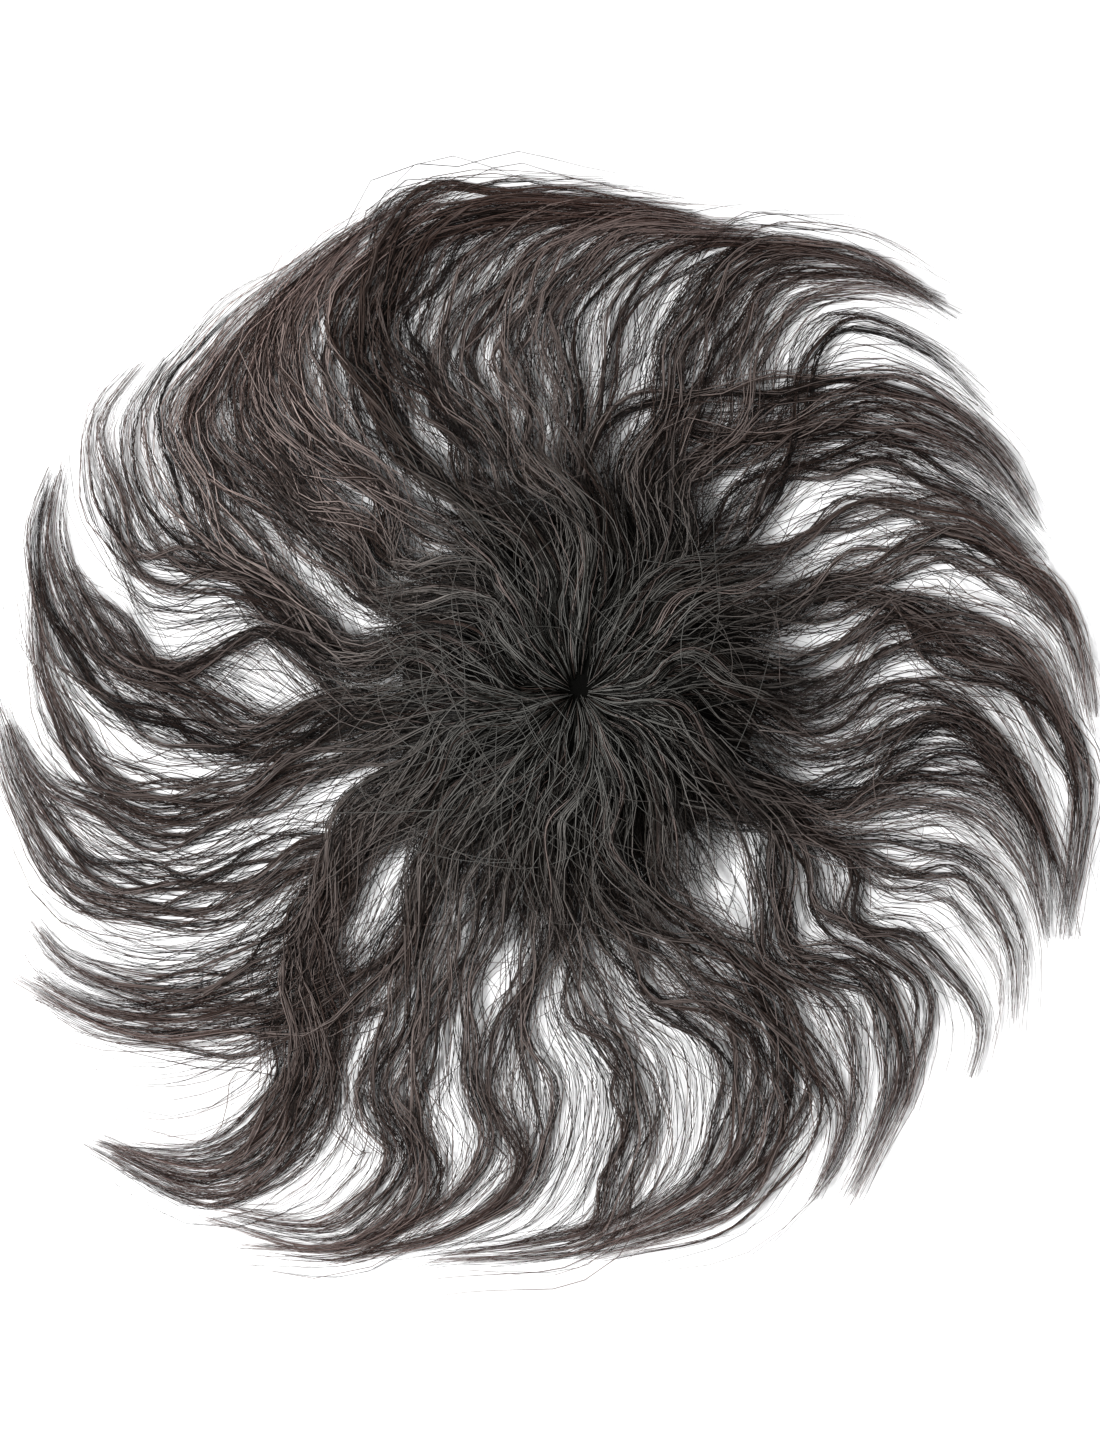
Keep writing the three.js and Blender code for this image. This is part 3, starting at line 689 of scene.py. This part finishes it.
class TOPPER_OT_crown(bpy.types.Operator):
    """Build the hair over the crown: a bed painted dark with deep shade, the crown locks' strands and the
    hairs that cross them
    """

    bl_idname = "topper.crown"
    bl_label = "Crown Hair"

    # Usual length of a lock in millimetres
    length = 95

    # Points along a strand, wisps in a lock, strands between two locks for each degree, and hairs across them
    points = 16
    wisps = 9
    between_hairs = 1.1
    crossing_hairs = 150

    # Shades: mean and spread of the wisps' logarithms, then the strands' own, and the most they may come to
    wisp_shades = (-0.12, 0.75)
    light_share = 0.4
    light_shades = (2.0, 4.2)
    dark_shades = (0.1, 0.45)
    most_shades = (3.0, 6.0)

    # Share of the way to the tips' colour that the crown reaches, how much further every fourth wisp is, and
    # the millimetres over which the bed's colour would run from root to tip
    to_tip = 0.3
    warmer = 0.3
    colour_run = 300

    # The bed: its edge in millimetres, its place in the depth of the hair, its painted shade and its rings
    # and spokes
    bed_edge = 52
    bed_layer = 0.62
    bed_painted_shade = 0.07
    bed_rings = 14
    bed_spokes = 96

    # Streaks on the bed round the whorl, and the millimetres of one along it
    streaks_round = 26
    streak_run = 100

    def execute(self, context):
        rng = np.random.default_rng(SEED)
        look = context.scene.topper_hair
        self.bed()
        radius = radius_of(look)
        groups = [self.lock(lock, look.crown_strands, radius, rng) for lock in CROWN_LOCKS]
        groups += self.between(radius, rng)
        groups.append(self.crossing(radius, rng))
        strand_piece("crown_strands", groups, strand_material(look), self.points)
        return {"FINISHED"}

    def bed_material(self):
        """Matt hair with streaks drawn from the whorl outwards, for the bed, which has no strands; its colour
        is painted dark as the shade deep in the hair.
        """
        material, noise, vary = hair_material("hair_under", 1.0, 0.05)
        tree = material.node_tree
        grain = tree.nodes.new("ShaderNodeAttribute")
        grain.attribute_name = "hair_grain"
        scale = tree.nodes.new("ShaderNodeMapping")
        scale.inputs["Scale"].default_value = (4.5, 4.5, 3.0)
        tree.links.new(grain.outputs["Vector"], scale.inputs["Vector"])
        tree.links.new(scale.outputs["Vector"], noise.inputs["Vector"])
        noise.inputs["Scale"].default_value = 1.6
        bump = tree.nodes.new("ShaderNodeBump")
        bump.inputs["Strength"].default_value = 0.7
        bump.inputs["Distance"].default_value = 0.6 * MM
        tree.links.new(noise.outputs["Fac"], bump.inputs["Height"])
        tree.links.new(bump.outputs["Normal"], tree.nodes["Principled BSDF"].inputs["Normal"])
        vary.inputs["From Min"].default_value = 0.32
        vary.inputs["From Max"].default_value = 0.68
        vary.inputs["To Min"].default_value = 0.35
        vary.inputs["To Max"].default_value = 1.7
        return material

    def lock(self, lock, total, radius, rng):
        """Strands of one crown lock, which lies as a rounded roll on the ones beside it."""
        middle = crown_path(lock, FINE)
        out = np.linalg.norm(middle, axis=1)
        half = lock.wide / 2 * np.interp(out, CROWN_OUT, CROWN_FULL)
        plan, lift, own, place, end = lock_strands(middle, half, total, self.wisps, CROWN_FLOW, rng)
        paths = np.dstack((plan, lift))
        paths, share = resample(paths, 0.45 * rng.random(total) ** 1.4, end, self.points, 0.2)
        layer = lock.lie + 0.22 * (1 - place**2) - 0.1 + rng.normal(0, 0.03, total)
        light = rng.random(total) < self.light_share
        shade = np.clip(rng.lognormal(*self.wisp_shades, self.wisps), 0.2, 2.6)[own]
        # Painted shade and highlight: locks that lie high are lighter and deep ones darker, and the middle of
        # each roll is lighter than its edges
        shade = shade * (0.46 + 0.9 * smooth(lock.lie, 0.8, 0.95))
        lights = rng.uniform(*self.light_shades, total)
        shade = shade * np.where(light, lights, rng.uniform(*self.dark_shades, total))
        # Painted highlight on the middle of each roll and painted shade at its edges
        shade = np.minimum(shade * (1.6 - 1.2 * place**2), rng.uniform(*self.most_shades, total))
        raised = lay(paths[..., :2], layer, paths[..., 2])
        along = self.to_tip * share + self.warmer * (own % 4 == 1)[:, None]
        return raised, along, shade, np.ones(total), 0.86 * radius * thickness(shade, rng)

    def between(self, radius, rng):
        """Strands that run between neighbouring crown locks, low in the hair and painted darker with shade.
        """
        groups = []
        along = np.linspace(0, 1, FINE)
        paths = [crown_path(lock, FINE) for lock in CROWN_LOCKS]
        after = CROWN_LOCKS[1:] + CROWN_LOCKS[:1]
        for lock, other, first, second in zip(CROWN_LOCKS, after, paths, paths[1:] + paths[:1]):
            total = round(self.between_hairs * ((lock.tip[0] - other.tip[0]) % 360))
            share = rng.uniform(0.05, 0.95, (total, 1, 1))
            swing = waves(total, along * self.length, (1, 3.6), (44, 76), rng)[0] * smooth(along, 0, 0.3)
            plan = between_paths(first, second, share, swing)
            plan, part = resample(plan, rng.uniform(0, 0.4, total), rng.uniform(0.65, 1, total), self.points)
            raised = lay(plan, rng.uniform(0.6, 0.84, total))
            size = radius * rng.uniform(0.7, 1.1, total)
            # Painted shade: these strands lie low between the locks and are made darker by 0.7
            groups.append((raised, self.to_tip * part, 0.7 * toned(total, 0.35, rng), np.ones(total), size))
        return groups

    def crossing(self, radius, rng):
        """Single pale hairs that lie across the flow of the crown, half of them on its left."""
        total = self.crossing_hairs
        along = np.linspace(0, 1, self.points)
        anywhere = rng.random(total) < 0.5
        start = np.where(anywhere, rng.uniform(0, FULL_TURN, total), rng.uniform(2.9, 4.6, total))
        out = rng.uniform(10, 70, total)
        heading = start + rng.normal(0, 0.9, total)
        turn = heading[:, None] + rng.normal(0, 1.5, (total, 1)) * along[None, :]
        pace = rng.uniform(30, 85, (total, 1)) / (self.points - 1)
        raised = lay(walk(start, out, turn, pace), rng.uniform(1.03, 1.1, total))
        share = np.repeat(self.to_tip * along[None], total, 0)
        return raised, share, rng.uniform(2.0, 4.0, total), np.ones(total), np.full(total, radius * 0.65)

    def bed(self):
        """The under-hair, painted near black as the shade deep in the hair: a closed dome with a ragged edge,
        spun by layer, then raised over the cap.
        """
        rings = np.linspace(0.06, 1, self.bed_rings) * self.bed_edge
        over = [(out, self.bed_layer) for out in rings]
        under = [(out, 0.0) for out in reversed(rings)]
        bm = spun([(0, -0.2), *over, *under, (0, -0.8)], self.bed_spokes)
        for vert in bm.verts:
            x, y, layer = vert.co
            angle = math.atan2(y, x)
            ragged = 2 * math.sin(3 * angle + 1) + 2 * math.sin(7 * angle) + 2 * math.sin(13 * angle + 2)
            grow = 1 + ragged / self.bed_edge
            out = grow * math.hypot(x, y)
            low = np.interp(out, LOW_OUT, LOW_UP)
            vert.co = (grow * x, grow * y, low + layer * (np.interp(out, TOP_OUT, TOP_UP) - low))
        mesh = spun_mesh("crown_bed", bm)
        place = np.empty(3 * len(mesh.vertices), np.float32)
        mesh.vertices.foreach_get("co", place)
        plan = (place.reshape(-1, 3)[:, :2] - WHORL) / MM
        reach = np.linalg.norm(plan, axis=1)
        # Painted shade: the bed is far darker than the hair's own colour, as the shade deep in the hair and
        # in the whorl's hole
        shade = np.full(len(plan), self.bed_painted_shade)
        paint(mesh, "hair_tone", hair_tone(reach / self.colour_run, shade, np.ones(len(plan))))
        spokes = self.streaks_round * plan / (reach[:, None] + 0.01)
        paint(mesh, "hair_grain", np.column_stack((spokes, reach / self.streak_run)))
        add_piece("crown_bed", mesh, self.bed_material(), "crown_hair")


class TOPPER_OT_locks(bpy.types.Operator):
    """Build the strands of the long locks, a piece for each side"""

    bl_idname = "topper.locks"
    bl_label = "Long Locks"

    # Points along a strand, and the share of strands that start near the whorl, not near the rim of the base
    points = 23
    near_share = 0.3
    near_roots = (12, 45)
    rim_roots = (45, LEAVE)

    # Shades: mean and spread of the wisps' logarithms, share of light strands, and the most they may come to
    wisp_shades = (-0.22, 0.8)
    light_share = 0.4
    most_shades = (2.6, 4.8)

    def execute(self, context):
        rng = np.random.default_rng(SEED + 1)
        look = context.scene.topper_hair
        fine = strand_material(look)
        for side, (first, last) in SECTORS.items():
            groups = [self.lock(look, lock, rng) for lock in RIM_LOCKS[first:last]]
            strand_piece(f"strands_{side}", groups, fine, self.points, "rim_locks")
        return {"FINISHED"}

    def lock(self, look, lock, rng):
        """Strands of one long lock; hair from near the whorl lies over hair from the rim of the base, and
        lower strands are painted darker with shade.
        """
        middle = rim_path(lock, FINE)
        half = rim_half(lock, middle)
        along = np.linspace(0, 1, FINE)
        out = np.linalg.norm(middle, axis=1)
        wisps = 1 + round(lock.wide / 4.2 * (0.6 + 0.8 * lock.dense))
        total = round(look.lock_strands * (0.35 + 0.65 * lock.dense) * (0.35 + 0.65 * lock.wide / 14))
        slim = min(1, 0.3 + lock.wide / 20)
        flow = RIM_FLOW._replace(size=(slim * RIM_FLOW.size[0], slim * RIM_FLOW.size[1]))
        plan, lift, own, place, end = lock_strands(middle, half, total, wisps, flow, rng)
        paths = np.dstack((plan, lift))
        near = rng.random(total) < self.near_share
        root = np.where(near, rng.uniform(*self.near_roots, total), rng.uniform(*self.rim_roots, total))
        base = out < LEAVE + 4
        paths, share = resample(paths, np.interp(root, out[base], along[base]), end, self.points, 0.1)
        layer = 0.95 - 0.7 * root / LEAVE - 0.12 * place**2 + rng.normal(0, 0.14, total)
        shade = rng.lognormal(*self.wisp_shades, wisps)[own] * toned(total, self.light_share, rng)
        # Painted shade: strands that lie lower in the hair are darker, those on top lighter
        shade = np.minimum(shade * (0.82 + 0.7 * layer), rng.uniform(*self.most_shades, total))
        warm = rng.uniform(0.5, 1.5, total)
        layer = np.clip(layer + 0.12 * smooth(shade, 0.8, 2), 0.02, 1.03)
        raised = lay(paths[..., :2], layer, paths[..., 2])
        size = radius_of(look) * thickness(shade, rng)
        reach = np.linalg.norm(raised[..., :2], axis=2)
        # Painted sheen and painted shade beyond the base, by the lock's light
        shade = shade[:, None] * (1 + (lock.light - 1) * smooth(reach, 66, 120))
        return raised, share, shade, warm, size


class TOPPER_OT_veil(bpy.types.Operator):
    """Build the loose hair between the locks and the fly-away strands round the outline"""

    bl_idname = "topper.veil"
    bl_label = "Veil and Fly-aways"

    # Usual length of a lock in millimetres
    length = 210

    # Points along a strand of the veil, a loose strand and a strand of the hem
    points = 15
    loose_points = 18
    hem_points = 10

    # Numbers of strands; the fringe's is for each degree
    fringe_hairs = 0.5
    tangle_hairs = 200
    stray_hairs = 110
    hem_hairs = 1260

    # Where the hem is fuller, as an angle and its spread in degrees, and the shares of its strands there
    hem_below = (255, 28)
    below_share = 0.3
    hem_right = (352, 24)
    right_share = 0.1

    def execute(self, context):
        rng = np.random.default_rng(SEED + 2)
        look = context.scene.topper_hair
        fine = strand_material(look)
        radius = radius_of(look)
        veil = self.between(look.veil_strands, radius, rng)
        half = SECTORS["bottom"][0]
        strand_piece("veil_upper", veil[:half], fine, self.points)
        strand_piece("veil_lower", veil[half:], fine, self.points)
        groups = [*self.fringe(radius, rng), self.tangle(radius, rng), self.stray(radius, rng)]
        strand_piece("loose_strands", groups, fine, self.loose_points)
        strand_piece("rim_fringe", [self.hem(radius, rng)], fine, self.hem_points)
        return {"FINISHED"}

    def fringe(self, radius, rng):
        """Shorter hair knotted along the rim of the base, between the locks as they leave it."""
        groups = []
        along = np.linspace(0, 1, FINE)
        order = sorted(RIM_LOCKS, key=lambda lock: lock.root)
        for lock, after in zip(order, order[1:] + order[:1]):
            total = max(round(self.fringe_hairs * ((after.root - lock.root) % 360)), 2)
            share = rng.uniform(0, 1, (total, 1, 1))
            swing = waves(total, along * self.length, (0.8, 3.0), (32, 58), rng)[0]
            swing = swing * smooth(along, 0.1, 0.3)
            plan = between_paths(rim_path(lock, FINE), rim_path(after, FINE), share, swing)
            start = rng.uniform(0.14, 0.3, total)
            plan, part = resample(plan, start, rng.uniform(0.45, 0.75, total), self.loose_points)
            raised = lay(plan, rng.uniform(0.3, 0.95, total))
            size = radius * rng.uniform(0.6, 1.0, total)
            groups.append((raised, part, toned(total, 0.25, rng), rng.uniform(0.5, 1.5, total), size))
        return groups

    def hem(self, radius, rng):
        """Short hair knotted round the edge of the cap, which it hides."""
        total = self.hem_hairs
        step = np.linspace(0, 1, self.hem_points)
        below = rng.random(total) < self.below_share
        start = np.where(below, rng.normal(*self.hem_below, total), rng.uniform(0, 360, total))
        right = rng.random(total) < self.right_share
        start = np.where(right, rng.normal(*self.hem_right, total), start)
        root = rng.uniform(44, 58, total)
        low = smooth(np.cos(np.radians(start - self.hem_below[0])), 0.3, 0.9)
        reach = rng.uniform(66, 84, total) + 24 * low * rng.random(total)
        out = root[:, None] + (reach - root)[:, None] * step
        flow = np.array([crown_swing(angle, row) for angle, row in zip(start, out)])
        lean = rng.normal(0, 0.1, total)[:, None] * step
        size = rng.uniform(0.01, 0.06, (total, 1))
        curl = size * np.sin(rng.uniform(0, FULL_TURN, (total, 1)) + 6 * step) * step
        turn = np.radians((start[:, None] + flow) / 2) + lean + curl
        raised = lay(np.dstack((out * np.cos(turn), out * np.sin(turn))), rng.uniform(0.1, 0.75, total))
        share = np.repeat(0.15 + 0.25 * step[None], total, 0)
        return raised, share, toned(total, 0.3, rng), np.ones(total), radius * rng.uniform(0.6, 1.0, total)

    def tangle(self, radius, rng):
        """Short wavy hairs that lie across the locks where they leave the base."""
        total = self.tangle_hairs
        step = np.linspace(0, 1, self.loose_points)[None, :]
        start = rng.uniform(0, 2 * np.pi, total)
        out = rng.uniform(48, 112, total)
        heading = (start - 0.35 + rng.normal(0, 0.75, total))[:, None]
        heading = heading + rng.normal(0, 0.9, (total, 1)) * step
        size = rng.uniform(0.1, 0.9, (total, 1))
        heading = heading + size * np.sin(rng.uniform(0, FULL_TURN, (total, 1)) + 7 * step)
        pace = rng.uniform(35, 95, (total, 1)) / (self.loose_points - 1)
        raised = lay(walk(start, out, heading, pace), rng.uniform(0.5, 1.05, total))
        share = 0.25 + 0.4 * np.repeat(step, total, 0)
        return raised, share, toned(total, 0.4, rng), np.ones(total), radius * rng.uniform(0.45, 0.75, total)

    def between(self, most, radius, rng):
        """Strands on the way from one lock to the next, clockwise."""
        groups = []
        along = np.linspace(0, 1, FINE)
        paths = [rim_path(lock, FINE) for lock in RIM_LOCKS]
        for lock, first, second in zip(RIM_LOCKS, paths, paths[1:] + paths[:1]):
            total = round(most * lock.veil)
            share = rng.uniform(0, 1, (total, 1, 1))
            calm = smooth(along, 0.1, 0.3) * (1 - 0.8 * smooth(along, 0.6, 0.9))
            swing = waves(total, along * self.length, (0.4, 2.8), (36, 66), rng)[0] * calm
            plan = between_paths(first, second, share, swing)
            start = rng.uniform(0.26, 0.54, total)
            plan, part = resample(plan, start, rng.uniform(0.7, 1, total), self.points, 0.25)
            raised = lay(plan, rng.uniform(0.05, 0.8, total))
            size = radius * rng.uniform(0.46, 0.78, total)
            groups.append((raised, part, toned(total, 0.35, rng), rng.uniform(0.5, 1.5, total), size))
        return groups

    def stray(self, radius, rng):
        """Single short strands that leave their lock in a bow."""
        total = self.stray_hairs
        chosen = rng.integers(0, len(RIM_LOCKS), total)
        plan = np.stack([rim_path(RIM_LOCKS[i], FINE) for i in chosen])
        start = rng.uniform(0.45, 0.78, total)
        plan, part = resample(plan, start, start + rng.uniform(0.12, 0.22, total), self.loose_points, 0)
        bow = rng.normal(1, 4, (total, 1)) * np.linspace(0, 1, self.loose_points)[None, :] ** 1.7
        plan = plan + (bow + rng.normal(0, 1.5, (total, 1)))[..., None] * sideways(plan)
        raised = lay(plan, rng.uniform(0.2, 1.1, total))
        size = np.full(total, radius * 0.5)
        return raised, part, rng.uniform(0.8, 1.6, total), rng.uniform(0.8, 1.6, total), size


class TOPPER_OT_stage(bpy.types.Operator):
    """Set the floor, the soft light and the camera straight above"""

    bl_idname = "topper.stage"
    bl_label = "Stage"

    # Half the floor's width and its drop below the part, in metres
    floor_half = 3
    floor_drop = 0.2 * MM

    # Middle of the picture from the whorl, in metres
    aim = (-10.8 * MM, -9 * MM)

    def execute(self, context):
        look = context.scene.topper_stage
        scene = context.scene
        bm = bmesh.new()
        bmesh.ops.create_grid(bm, x_segments=1, y_segments=1, size=self.floor_half)
        mesh = bpy.data.meshes.new("floor")
        bm.to_mesh(mesh)
        bm.free()
        floor = bpy.data.objects.new("floor", mesh)
        floor.location.z = -self.floor_drop
        context.collection.objects.link(floor)
        coat, _, shader = new_material("floor_paint")
        shader.inputs["Base Color"].default_value = (*look.floor_colour, 1)
        shader.inputs["Roughness"].default_value = 0.9
        shader.inputs["Specular IOR Level"].default_value = 0.1
        mesh.materials.append(coat)
        world = bpy.data.worlds.new("studio")
        world.use_nodes = True
        background = world.node_tree.nodes["Background"]
        background.inputs["Color"].default_value = (1, 1, 1, 1)
        background.inputs["Strength"].default_value = look.ambient
        scene.world = world
        self.light("key", place=(-0.95, -0.1, 1.35), size=0.5, power=look.key_power)
        self.light("fill", place=(0.5, 0.5, 1.5), size=1.4, power=look.fill_power)
        camera = bpy.data.cameras.new("camera")
        camera.sensor_width = 36
        camera.lens = camera.sensor_width * look.camera_height / look.view_height
        view = bpy.data.objects.new("camera", camera)
        view.location = (WHORL[0] + self.aim[0], WHORL[1] + self.aim[1], look.camera_height)
        context.collection.objects.link(view)
        scene.camera = view
        scene.view_settings.view_transform = "Standard"
        return {"FINISHED"}

    def light(self, name, place, size, power):
        """A square soft box that faces the middle of the floor."""
        lamp = bpy.data.lights.new(name, "AREA")
        lamp.size = size
        lamp.energy = power
        box = bpy.data.objects.new(name, lamp)
        box.location = place
        away = math.hypot(place[0], place[1])
        box.rotation_euler = (0, math.atan2(away, place[2]), math.atan2(place[1], place[0]))
        bpy.context.collection.objects.link(box)


class TOPPER_PT_panel(bpy.types.Panel):
    """Steps and sizes of the hair topper"""

    bl_idname = "TOPPER_PT_panel"
    bl_label = "Hair Topper"
    bl_space_type = "VIEW_3D"
    bl_region_type = "UI"
    bl_category = "Topper"

    def draw(self, context):
        for step in STEPS:
            self.layout.operator(step.bl_idname)
        for group in (context.scene.topper_hair, context.scene.topper_base, context.scene.topper_stage):
            box = self.layout.box()
            for name in group.__annotations__:
                box.prop(group, name)


STEPS = (TOPPER_OT_stage, TOPPER_OT_base, TOPPER_OT_crown, TOPPER_OT_locks, TOPPER_OT_veil)
CLASSES = (HairSettings, BaseSettings, StageSettings, *STEPS, TOPPER_PT_panel)


def register():
    for cls in CLASSES:
        bpy.utils.register_class(cls)
    bpy.types.Scene.topper_hair = bpy.props.PointerProperty(type=HairSettings)
    bpy.types.Scene.topper_base = bpy.props.PointerProperty(type=BaseSettings)
    bpy.types.Scene.topper_stage = bpy.props.PointerProperty(type=StageSettings)


def unregister():
    del bpy.types.Scene.topper_stage
    del bpy.types.Scene.topper_base
    del bpy.types.Scene.topper_hair
    for cls in reversed(CLASSES):
        bpy.utils.unregister_class(cls)


def main():
    register()
    bpy.ops.topper.stage()
    bpy.ops.topper.base()
    bpy.ops.topper.crown()
    bpy.ops.topper.locks()
    bpy.ops.topper.veil()


if __name__ == "__main__":
    main()
